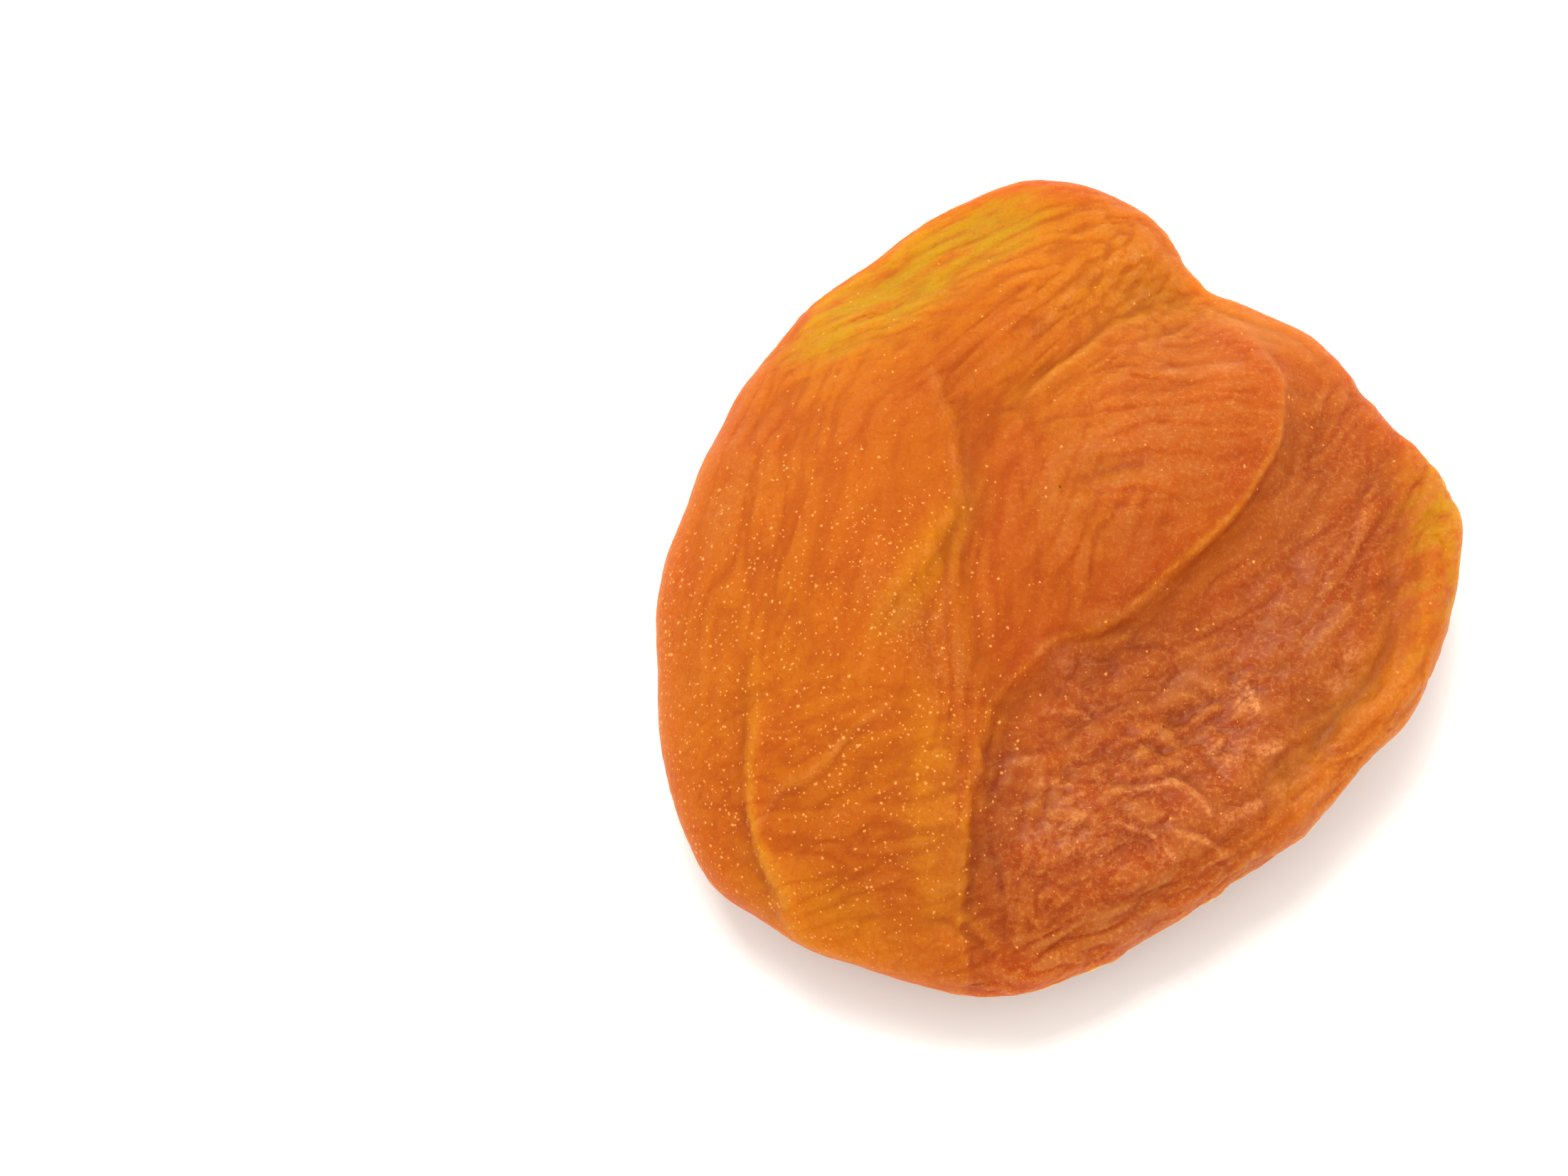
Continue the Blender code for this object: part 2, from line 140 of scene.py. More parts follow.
# The lines of the folds, seen from above, in millimetres from MIDDLE. Each has a groove along it and a lip
# beside it. The groove lies at the offset at and the lip at lip_at, to the left where positive. The strengths
# are spread evenly along the line. Depth, lip (its height) and the widths are in millimetres too. Glow is how
# much painted light, as if shining through, turns the lip golden, and frost is how much sugar lies on it.
Crease = namedtuple("Crease", "path strength at depth width lip_at lip lip_width glow frost")
CREASES = {
    "main_fold": Crease(
        path=((-4.9, -21.0), (-4.9, -17.0), (-4.8, -14.0), (-4.5, -11.2), (-3.7, -8.4), (-2.5, -6.0),
              (-0.8, -4.3), (1.2, -3.5), (3.4, -2.2), (5.3, -0.5), (7.3, 1.4), (9.1, 3.7), (10.4, 6.8),
              (10.4, 9.6), (9.3, 12.0), (7.3, 14.2)),
        strength=(0.2, 0.7, 0.8, 0.6, 0.4, 0.4, 0.5, 1.0, 1.0, 0.45, 0.2, 0.1),
        at=-0.35, depth=0.14, width=0.25, lip_at=0.05, lip=0.09, lip_width=0.18, glow=0.8, frost=0),
    "cheek_edge": Crease(
        path=((-9.6, -8.5), (-9.1, -4.8), (-8.2, -2.9), (-6.9, -1.2), (-5.9, 0.5), (-5.2, 2.4),
              (-5.0, 4.4), (-5.4, 6.7), (-6.4, 10.5)),
        strength=(0, 0.5, 0.7, 0.9, 1.0, 0.7, 0.1),
        at=-0.45, depth=0.04, width=0.35, lip_at=0, lip=0.03, lip_width=0.3, glow=0.45, frost=0.2),
    "outer_tuck": Crease(
        path=((-14.3, -5.5), (-14.6, -8.6), (-14.5, -11.0), (-14.1, -13.3), (-13.5, -15.2),
              (-12.5, -16.9), (-11.0, -18.0), (-8.9, -18.9), (-5.5, -19.8)),
        strength=(0.4, 0.6, 0.7, 1.0, 1.0, 1.0, 0.8, 0.2),
        at=-0.35, depth=0.14, width=0.3, lip_at=0.15, lip=0.07, lip_width=0.3, glow=1.0, frost=0),
    "faint_tuck": Crease(
        path=((-8.1, -7.7), (-10.0, -8.9), (-11.4, -10.2), (-13.1, -11.2), (-14.0, -13.1)),
        strength=(0.3, 1.0, 0.8, 0.3),
        at=0.3, depth=0.05, width=0.25, lip_at=0, lip=0.04, lip_width=0.2, glow=0.4, frost=0.3),
    "waist_edge": Crease(
        path=((-4.6, 6.8), (-4.9, 4.0), (-5.3, 0.5), (-5.9, -2.5), (-6.4, -5.0), (-6.2, -7.5)),
        strength=(0, 1.0, 0.6, 1.0, 0),
        at=0, depth=0.04, width=0.25, lip_at=0.4, lip=0.02, lip_width=0.25, glow=0.1, frost=0.2),
    "rim_foot": Crease(
        path=((15.9, 0.0), (16.0, -3.3), (15.3, -4.7), (14.4, -5.7), (12.9, -6.6), (12.1, -7.4),
              (10.8, -9.1), (9.8, -9.9), (8.2, -10.5), (6.9, -11.7)),
        strength=(0, 0.8, 1.0, 1.0, 1.0, 0.8, 0.6),
        at=0, depth=0.03, width=0.25, lip_at=0.5, lip=0.05, lip_width=0.4, glow=0.4, frost=0.1),
    "basin_high": Crease(
        path=((-0.7, -6.2), (0.5, -6.6), (1.5, -7.4), (2.4, -7.5)),
        strength=(0.3, 1.0, 1.0, 0),
        at=0, depth=0.08, width=0.2, lip_at=0.4, lip=0.03, lip_width=0.2, glow=0, frost=0.3),
    "basin_brow": Crease(
        path=((-1.9, -8.2), (-0.8, -7.3), (0.5, -7.2), (1.8, -7.6)),
        strength=(0, 1.0, 1.0, 0),
        at=-0.35, depth=0.05, width=0.2, lip_at=0, lip=0.05, lip_width=0.13, glow=0, frost=0.6),
    "basin_left": Crease(
        path=((-3.5, -9.6), (-2.1, -9.7), (-1.1, -9.4), (0.0, -8.7), (0.5, -8.1)),
        strength=(0.3, 1.0, 0.8, 0),
        at=0, depth=0.07, width=0.2, lip_at=-0.35, lip=0.04, lip_width=0.18, glow=0, frost=0.4),
    "basin_middle": Crease(
        path=((1.2, -10.3), (3.0, -10.5), (4.6, -10.3), (5.9, -10.9), (6.7, -11.7)),
        strength=(0, 0.8, 1.0, 0.8),
        at=0, depth=0.08, width=0.2, lip_at=-0.3, lip=0.06, lip_width=0.12, glow=0, frost=0.9),
    "basin_arc": Crease(
        path=((-2.1, -11.4), (-1.3, -11.0), (-0.3, -10.9), (0.5, -11.2)),
        strength=(0, 1.0, 1.0, 0),
        at=-0.35, depth=0.04, width=0.2, lip_at=0, lip=0.05, lip_width=0.12, glow=0, frost=0.7),
    "basin_low": Crease(
        path=((4.2, -12.2), (5.4, -12.5), (6.4, -12.8), (7.4, -13.6)),
        strength=(0, 1.0, 1.0, 0),
        at=0, depth=0.09, width=0.2, lip_at=-0.3, lip=0.07, lip_width=0.12, glow=0.2, frost=0.9),
    "basin_tip": Crease(
        path=((1.9, -12.1), (2.5, -12.4), (3.3, -12.7), (4.0, -13.4)),
        strength=(0, 1.0, 1.0, 0),
        at=-0.35, depth=0.05, width=0.2, lip_at=0, lip=0.06, lip_width=0.12, glow=0, frost=0.8),
    "bright_crest": Crease(
        path=((7.2, -6.1), (8.0, -5.8), (8.6, -6.5), (9.0, -7.3)),
        strength=(0, 1.0, 1.0, 0),
        at=-0.35, depth=0.06, width=0.2, lip_at=0, lip=0.07, lip_width=0.12, glow=0, frost=1.0),
    "bright_crest_low": Crease(
        path=((6.3, -9.4), (7.0, -8.6), (8.2, -8.7), (9.4, -9.0), (10.2, -8.5)),
        strength=(0, 1.0, 0.6, 1.0, 0),
        at=-0.35, depth=0.06, width=0.2, lip_at=0, lip=0.07, lip_width=0.12, glow=0, frost=1.0),
    "rim_crest": Crease(
        path=((6.6, -12.1), (7.7, -11.6), (8.9, -11.2)),
        strength=(0, 1.0, 0),
        at=-0.35, depth=0.05, width=0.2, lip_at=0, lip=0.06, lip_width=0.18, glow=0.3, frost=0.9),
    "basin_foot": Crease(
        path=((-4.1, -13.0), (-3.4, -15.0), (-3.0, -17.0), (-2.2, -18.6)),
        strength=(0, 1.0, 0.7, 0),
        at=0, depth=0.06, width=0.25, lip_at=0.4, lip=0.03, lip_width=0.2, glow=0, frost=0.2),
    "slope_crease": Crease(
        path=((14.9, 5.6), (13.9, 3.2), (12.9, 1.5), (12.0, -0.1), (11.6, -1.9)),
        strength=(0, 1.0, 0.8, 0),
        at=0, depth=0.05, width=0.25, lip_at=0.5, lip=0.02, lip_width=0.3, glow=0, frost=0.2),
    "notch_furrow": Crease(
        path=((6.6, 14.6), (5.1, 13.7), (3.3, 12.5), (1.1, 10.8), (-0.7, 9.0), (-2.4, 7.2)),
        strength=(0.3, 0.6, 1.0, 1.0, 0.3),
        at=0, depth=0.1, width=0.22, lip_at=0.4, lip=0.04, lip_width=0.2, glow=0.4, frost=0.2),
    "notch_side": Crease(
        path=((5.8, 16.2), (3.6, 15.3), (1.6, 13.7), (-0.2, 11.6), (-2.6, 9.4), (-4.4, 7.4)),
        strength=(0, 0.8, 1.0, 0.6, 0),
        at=0, depth=0.06, width=0.25, lip_at=-0.4, lip=0.02, lip_width=0.2, glow=0.2, frost=0.3),
    "notch_low": Crease(
        path=((6.8, 13.6), (5.6, 12.2), (4.0, 11.2), (1.6, 10.4)),
        strength=(0.3, 1.0, 0.8, 0),
        at=0, depth=0.07, width=0.25, lip_at=0.4, lip=0.02, lip_width=0.25, glow=0.1, frost=0.3),
    "lobe_band": Crease(
        path=((3.6, 10.2), (5.2, 9.7), (7.0, 9.8), (9.0, 10.5)),
        strength=(0, 1.0, 1.0, 0),
        at=0, depth=0.05, width=0.3, lip_at=-0.5, lip=0.02, lip_width=0.3, glow=0, frost=0.3),
    "brow": Crease(
        path=((6.5, 15.2), (7.9, 13.7), (9.8, 12.6), (11.7, 11.6), (13.1, 9.8)),
        strength=(0, 1.0, 0.8, 0.5, 0),
        at=0, depth=0.08, width=0.25, lip_at=0.4, lip=0.03, lip_width=0.2, glow=0.3, frost=0),
    "low_pocket": Crease(
        path=((-7.5, -17.3), (-5.8, -17.0), (-4.6, -17.4), (-3.7, -18.2), (-2.4, -18.5)),
        strength=(0, 1.0, 1.0, 0),
        at=0, depth=0.1, width=0.3, lip_at=0.5, lip=0.05, lip_width=0.3, glow=0.6, frost=0),
}


def noise_at(points, spacing, seed):
    """A smooth noise from about -1 to 1 at each point."""
    shift = Vector((seed, seed, seed)) * 10
    return np.array([noise.noise(Vector(point) / spacing + shift) for point in points])


def smooth_path(points, steps=6):
    """A smooth chain of points through the given ones."""
    p = np.array(points, float)
    p = np.vstack([2 * p[0] - p[1], p, 2 * p[-1] - p[-2]])
    chain = [p[1]]
    for a, b, c, d in zip(p, p[1:], p[2:], p[3:]):
        for t in np.arange(1, steps + 1) / steps:
            chain.append(0.5 * (2 * b + (c - a) * t + (2 * a - 5 * b + 4 * c - d) * t**2
                                + (3 * b - a - 3 * c + d) * t**3))
    return np.array(chain)


def beside(path, plan):
    """Each point's distance left of the line (right is negative) and share of the way along it."""
    chain = smooth_path(path)
    start, leg = chain[:-1], np.diff(chain, axis=0)
    length = np.hypot(*leg.T)
    from_start = plan[:, None] - start
    share = np.clip((from_start * leg).sum(2) / length**2, 0, 1)
    off = from_start - share[..., None] * leg
    distance = np.hypot(off[..., 0], off[..., 1])
    nearest = distance.argmin(1)
    rows = np.arange(len(plan))
    left = np.stack([-leg[:, 1], leg[:, 0]], 1)[nearest]
    side = np.sign((off[rows, nearest] * left).sum(1))
    travelled = np.concatenate([[0], np.cumsum(length)])
    along = (travelled[nearest] + share[rows, nearest] * length[nearest]) / travelled[-1]
    return side * distance[rows, nearest], along


def smooth_step(low, high, value):
    share = np.clip((value - low) / (high - low), 0, 1)
    return share * share * (3 - 2 * share)


def read_vectors(items, name):
    values = np.empty(len(items) * 3, np.float32)
    items.foreach_get(name, values)
    return values.reshape(-1, 3).astype(float)


# The tables count from a point a little in front of the fruit's own origin
MIDDLE = np.array([0.0, 0.56])
# The lines wander by up to this much, in swings of this spacing
WANDER, WANDER_SPACING = 0.45, 3.2

points = read_vectors(flesh.data.vertices, "co") / MM
normals = read_vectors(flesh.data.vertices, "normal")
table_points = points + (*MIDDLE, 0)
plan = table_points[:, :2].copy()
plan[:, 0] += WANDER * noise_at(table_points, WANDER_SPACING, 1)
plan[:, 1] += WANDER * noise_at(table_points, WANDER_SPACING, 2)
facing_up = smooth_step(-0.1, 0.25, normals[:, 2])
GROOVE_SHARPNESS = 1.4
groove = np.zeros(len(points))
lip = np.zeros(len(points))
rime_and_glint = np.zeros(len(points))
relief = np.zeros(len(points))
for crease in CREASES.values():
    distance, along = beside(crease.path, plan)
    strength = np.interp(along, np.linspace(0, 1, len(crease.strength)), crease.strength) * facing_up
    sunk = strength * np.exp(-(np.abs((distance - crease.at) / crease.width) ** GROOVE_SHARPNESS))
    raised = strength * np.exp(-(((distance - crease.lip_at) / crease.lip_width) ** 2))
    relief += crease.lip * raised - crease.depth * sunk
    groove = np.maximum(groove, sunk)
    # The lip's painted glow, as of light shining through it
    lip = np.maximum(lip, raised * crease.glow)
    # Pale rime along the lips; painted glints are added to it further on
    rime_and_glint = np.maximum(rime_and_glint, raised * crease.frost)
points += normals * relief[:, None]
flesh.data.vertices.foreach_set("co", (points * MM).astype(np.float32).ravel())
flesh.data.update()


def store(mesh, name, values):
    """Keeps one value for each point of the mesh, for the material to read."""
    layer = mesh.attributes.get(name) or mesh.attributes.new(name, "FLOAT", "POINT")
    layer.data.foreach_set("value", np.asarray(values, np.float32))


store(flesh.data, "groove", groove)
# The lip attribute keeps the lip's painted glow
store(flesh.data, "lip", lip)
store(flesh.data, "rime_and_glint", rime_and_glint)

# Wrinkles lying one way in a patch of skin: middle, half length, half breadth and turn of the patch, turn of
# the wrinkles, and length, spacing and height of a wrinkle, in millimetres and degrees
Family = namedtuple("Family", "x y long short turn lie length spacing height")
FAMILIES = {
    "cheek_streaks": Family(-12.5, 3.0, 11.0, 5.0, 80, 76, 7.0, 1.2, 0.035),
    "cheek_low": Family(-10.0, -12.0, 8.0, 6.0, 150, 15, 4.5, 1.1, 0.035),
    "yellow_edge": Family(-6.5, 15.0, 9.0, 4.0, 35, 22, 5.0, 0.9, 0.05),
    "notch_fan": Family(0.5, 11.5, 8.0, 4.5, 40, 44, 6.0, 0.9, 0.065),
    "top_lobe": Family(3.0, 16.0, 6.0, 3.5, 10, 25, 5.0, 1.0, 0.055),
    "lobe_ripples": Family(5.5, 6.5, 6.5, 4.5, 40, 6, 5.5, 1.2, 0.06),
    "lobe_arcs": Family(1.5, 1.0, 6.0, 4.0, 60, 68, 5.0, 1.3, 0.045),
    "waist": Family(-3.5, -1.0, 10.0, 3.0, 80, 84, 6.0, 1.2, 0.04),
    "slope": Family(13.5, 3.0, 8.5, 4.0, 80, 56, 5.5, 1.3, 0.08),
    "basin_long": Family(5.0, -7.5, 10.5, 6.5, 30, 30, 4.0, 1.4, 0.095),
    "basin_cross": Family(3.5, -10.5, 9.0, 5.0, 20, -28, 3.4, 1.4, 0.09),
    "basin_left": Family(-2.0, -12.0, 6.0, 3.5, 90, 82, 3.2, 1.2, 0.085),
    "lower_cheek": Family(2.0, -16.8, 9.0, 3.5, 25, 24, 2.8, 0.95, 0.095),
    "rim_right": Family(17.5, 0.0, 9.0, 3.5, 85, 70, 3.8, 1.2, 0.07),
    "rim_low": Family(12.0, -11.5, 8.0, 3.5, 50, 48, 3.2, 1.1, 0.08),
}
SEED_STEP = 7.3


def feed(tree, socket, value):
    """Links the socket to another one, or gives it a plain value."""
    if isinstance(value, bpy.types.NodeSocket):
        tree.links.new(value, socket)
    elif value is not None:
        socket.default_value = value


def math_node(tree, operation, a, b=None):
    """The result of a sum on sockets or plain numbers."""
    node = tree.nodes.new("ShaderNodeMath")
    node.operation = operation
    for socket, value in zip(node.inputs, (a, b)):
        feed(tree, socket, value)
    return node.outputs[0]


def vector_node(tree, operation, a, b=None):
    """The result of a sum on vectors, each a socket or three plain numbers."""
    node = tree.nodes.new("ShaderNodeVectorMath")
    node.operation = operation
    for socket, value in zip(node.inputs, (a, b)):
        feed(tree, socket, value)
    return node.outputs["Value" if operation == "LENGTH" else "Vector"]


def turned(tree, vector, angle):
    """The vector turned back by the angle about the upright axis, so that x runs along that direction."""
    node = tree.nodes.new("ShaderNodeVectorRotate")
    node.rotation_type = "Z_AXIS"
    tree.links.new(vector, node.inputs["Vector"])
    feed(tree, node.inputs["Angle"], math_node(tree, "MULTIPLY", angle, -1))
    return node.outputs[0]


def scaled(tree, vector, factor):
    result = vector_node(tree, "SCALE", vector)
    feed(tree, result.node.inputs["Scale"], factor)
    return result


def combined(tree, *parts):
    node = tree.nodes.new("ShaderNodeCombineXYZ")
    for socket, part in zip(node.inputs, parts):
        feed(tree, socket, part)
    return node.outputs[0]


def wrinkle_family_group():
    """One family of wrinkles, in millimetres and radians: its crests, from -1 to 1, and its relief."""
    group = bpy.data.node_groups.new("wrinkle_family", "GeometryNodeTree")
    for name in ("Place", "Middle"):
        group.interface.new_socket(name, in_out="INPUT", socket_type="NodeSocketVector")
    for name in ("Half Length", "Half Breadth", "Turn", "Lie", "Length", "Spacing", "Height", "Seed"):
        group.interface.new_socket(name, in_out="INPUT", socket_type="NodeSocketFloat")
    group.interface.new_socket("Crest", in_out="OUTPUT", socket_type="NodeSocketFloat")
    group.interface.new_socket("Relief", in_out="OUTPUT", socket_type="NodeSocketFloat")
    given = group.nodes.new("NodeGroupInput").outputs
    made = group.nodes.new("NodeGroupOutput").inputs
    offset = vector_node(group, "SUBTRACT", given["Place"], given["Middle"])
    in_patch = turned(group, offset, given["Turn"])
    any_height = 1e6
    size = combined(group, given["Half Length"], given["Half Breadth"], any_height)
    far = vector_node(group, "LENGTH", vector_node(group, "DIVIDE", in_patch, size))
    patch = math_node(group, "EXPONENT", math_node(group, "MULTIPLY", math_node(group, "POWER", far, 3), -1))
    step = combined(group, given["Length"], given["Spacing"], given["Spacing"])
    pattern = group.nodes.new("ShaderNodeTexNoise")
    pattern.noise_dimensions = "4D"
    along_wrinkles = vector_node(group, "DIVIDE", turned(group, offset, given["Lie"]), step)
    group.links.new(along_wrinkles, pattern.inputs["Vector"])
    group.links.new(given["Seed"], pattern.inputs["W"])
    pattern.inputs["Scale"].default_value = 1
    pattern.inputs["Detail"].default_value = 1.5
    pattern.inputs["Roughness"].default_value = 0.45
    pattern.inputs["Distortion"].default_value = 0.5
    swing = math_node(group, "MULTIPLY", math_node(group, "SUBTRACT", pattern.outputs[0], 0.5), 5)
    ridge = math_node(group, "MINIMUM", math_node(group, "ABSOLUTE", swing), 1)
    ridge = math_node(group, "POWER", ridge, 0.7)
    level = math_node(group, "SUBTRACT", math_node(group, "MULTIPLY", ridge, 2), 1)
    crest = math_node(group, "MULTIPLY", level, patch)
    group.links.new(crest, made["Crest"])
    group.links.new(math_node(group, "MULTIPLY", crest, given["Height"]), made["Relief"])
    return group


def wrinkled_skin_tree(material):
    """The skin pushed out and in along its normals by every family and by an even fine unevenness."""
    tree = bpy.data.node_groups.new("wrinkled_skin", "GeometryNodeTree")
    tree.interface.new_socket("Geometry", in_out="INPUT", socket_type="NodeSocketGeometry")
    sizes = {"Wrinkle Strength": 1, "Patch Spacing": 4, "Fine Height": 0.04, "Fine Spacing": 0.9}
    for name, value in sizes.items():
        socket = tree.interface.new_socket(name, in_out="INPUT", socket_type="NodeSocketFloat")
        socket.default_value = value
    tree.interface.new_socket("Geometry", in_out="OUTPUT", socket_type="NodeSocketGeometry")
    given = tree.nodes.new("NodeGroupInput").outputs
    made = tree.nodes.new("NodeGroupOutput").inputs
    place = scaled(tree, tree.nodes.new("GeometryNodeInputPosition").outputs[0], 1 / MM)
    family_group = wrinkle_family_group()
    total, crests = 0, 0
    for seed, family in enumerate(FAMILIES.values(), 1):
        node = tree.nodes.new("GeometryNodeGroup")
        node.node_tree = family_group
        tree.links.new(place, node.inputs["Place"])
        node.inputs["Middle"].default_value = (family.x - MIDDLE[0], family.y - MIDDLE[1], 0)
        node.inputs["Half Length"].default_value = family.long
        node.inputs["Half Breadth"].default_value = family.short
        node.inputs["Turn"].default_value = math.radians(family.turn)
        node.inputs["Lie"].default_value = math.radians(family.lie)
        node.inputs["Length"].default_value = family.length
        node.inputs["Spacing"].default_value = family.spacing
        node.inputs["Height"].default_value = family.height
        node.inputs["Seed"].default_value = seed * SEED_STEP
        total = math_node(tree, "ADD", total, node.outputs["Relief"])
        crests = math_node(tree, "ADD", crests, node.outputs["Crest"])
    patchy = tree.nodes.new("ShaderNodeTexNoise")
    tree.links.new(place, patchy.inputs["Vector"])
    tree.links.new(math_node(tree, "DIVIDE", 1, given["Patch Spacing"]), patchy.inputs["Scale"])
    patchy.inputs["Detail"].default_value = 1
    least_strength = 0.15
    here = math_node(tree, "ADD", math_node(tree, "MULTIPLY", patchy.outputs[0], 3), -0.5)
    here = math_node(tree, "MAXIMUM", here, least_strength)
    total = math_node(tree, "MULTIPLY", total, here)
    total = math_node(tree, "MULTIPLY", total, given["Wrinkle Strength"])
    fine = tree.nodes.new("ShaderNodeTexNoise")
    tree.links.new(place, fine.inputs["Vector"])
    tree.links.new(math_node(tree, "DIVIDE", 1, given["Fine Spacing"]), fine.inputs["Scale"])
    fine.inputs["Detail"].default_value = 3
    fine.inputs["Roughness"].default_value = 0.6
    fine_relief = math_node(tree, "MULTIPLY", math_node(tree, "SUBTRACT", fine.outputs[0], 0.5),
                            math_node(tree, "MULTIPLY", given["Fine Height"], 2))
    relief_here = math_node(tree, "ADD", total, fine_relief)
    keep = tree.nodes.new("GeometryNodeStoreNamedAttribute")
    keep.data_type = "FLOAT"
    keep.domain = "POINT"
    keep.inputs["Name"].default_value = "crest"
    tree.links.new(given["Geometry"], keep.inputs["Geometry"])
    tree.links.new(crests, keep.inputs["Value"])
    outwards = tree.nodes.new("GeometryNodeInputNormal").outputs[0]
    push = scaled(tree, outwards, math_node(tree, "MULTIPLY", relief_here, MM))
    move = tree.nodes.new("GeometryNodeSetPosition")
    tree.links.new(keep.outputs[0], move.inputs["Geometry"])
    tree.links.new(push, move.inputs["Offset"])
    realize = tree.nodes.new("GeometryNodeRealizeInstances")
    tree.links.new(move.outputs[0], realize.inputs[0])
    finish = tree.nodes.new("GeometryNodeSetMaterial")
    finish.inputs["Material"].default_value = material
    tree.links.new(realize.outputs[0], finish.inputs["Geometry"])
    tree.links.new(finish.outputs[0], made[0])
    return tree


def srgb(red, green, blue):
    """A colour from its display values 0 to 255, as the shader's linear values."""
    linear = [c / 255 / 12.92 if c <= 10 else ((c / 255 + 0.055) / 1.055) ** 2.4 for c in (red, green, blue)]
    return (*linear, 1)


def attribute(tree, name):
    node = tree.nodes.new("ShaderNodeAttribute")
    node.attribute_name = name
    return node.outputs["Fac"]


def mixed(tree, share, a, b):
    """Colour a, with a share of colour b in it."""
    node = tree.nodes.new("ShaderNodeMix")
    node.data_type = "RGBA"
    for socket, value in ((node.inputs[0], share), (node.inputs[6], a), (node.inputs[7], b)):
        feed(tree, socket, value)
    return node.outputs[2]


def pattern_noise(tree, place, per_mm, detail=2.0, rough=0.5, distortion=0.0):
    node = tree.nodes.new("ShaderNodeTexNoise")
    tree.links.new(place, node.inputs["Vector"])
    node.inputs["Scale"].default_value = per_mm
    node.inputs["Detail"].default_value = detail
    node.inputs["Roughness"].default_value = rough
    node.inputs["Distortion"].default_value = distortion
    return node.outputs[0]


def ramp(tree, value, low, high):
    """0 below low, 1 above high, with a smooth way between."""
    node = tree.nodes.new("ShaderNodeMapRange")
    node.interpolation_type = "SMOOTHSTEP"
    tree.links.new(value, node.inputs["Value"])
    node.inputs["From Min"].default_value = low
    node.inputs["From Max"].default_value = high
    return node.outputs["Result"]


def sugar_dots(tree, place, per_mm, radius, share):
    """Ragged grains on a jittered grid, with only a share of the grid's cells filled."""
    bent = tree.nodes.new("ShaderNodeTexNoise")
    tree.links.new(place, bent.inputs["Vector"])
    bent.inputs["Scale"].default_value = per_mm * 2.2
    shift = scaled(tree, bent.outputs["Color"], 0.45 / per_mm)
    cells = tree.nodes.new("ShaderNodeTexVoronoi")
    tree.links.new(vector_node(tree, "ADD", place, shift), cells.inputs["Vector"])
    cells.inputs["Scale"].default_value = per_mm
    cells.inputs["Randomness"].default_value = 1
    chance = tree.nodes.new("ShaderNodeSeparateColor")
    tree.links.new(cells.outputs["Color"], chance.inputs[0])
    size = math_node(tree, "ADD", math_node(tree, "MULTIPLY", chance.outputs[1], radius * 0.5), radius * 0.6)
    near = math_node(tree, "DIVIDE", cells.outputs["Distance"], size)
    dot = ramp(tree, near, 1.0, 0.3)
    return math_node(tree, "MULTIPLY", dot, math_node(tree, "LESS_THAN", chance.outputs[0], share))


def thin_lines(tree, place, per_mm, width):
    """Long wandering lines, 1 along their middle."""
    field = pattern_noise(tree, place, per_mm, 1.5, 0.5, 0.8)
    away = math_node(tree, "ABSOLUTE", math_node(tree, "SUBTRACT", field, 0.5))
    return ramp(tree, away, width, 0)


def film_folds(tree, place, per_mm, count):
    """Folds as in a crumpled film: each swells slowly and ends at a crisp edge."""
    field = pattern_noise(tree, place, per_mm, 1, 0.4, 0.9)
    return math_node(tree, "POWER", math_node(tree, "FRACT", math_node(tree, "MULTIPLY", field, count)), 2)


# The skin's colours, as display values: ordinary flesh in two shades, ripe golden with a painted glow of
# light shining through, painted shade where it is sunk and in its furrows, a painted yellow glow of light
# through it where it is thin, with the sugar's haze, rime with painted glints, frost and grains on it, and
# with dark pores and a few dark specks
FLESH_COLORS = {
    "amber": (166, 80, 2),
    "russet": (160, 67, 2),
    "ripe_and_glow": (181, 108, 2),
    "sunk_shade": (128, 48, 5),
    "furrow_shade": (142, 50, 1),
    "thin_glow": (167, 122, 2),
    "haze": (160, 92, 38),
    "rime_and_glint": (208, 140, 86),
    "frost": (194, 130, 60),
    "sugar": (232, 168, 86),
    "pore": (146, 58, 2),
    "speck": (70, 30, 10),
}
# The turns of the film's folds and of the flesh's fibres, in radians
FILM_LIE, FIBRE_LIE = 0.5, 1.35


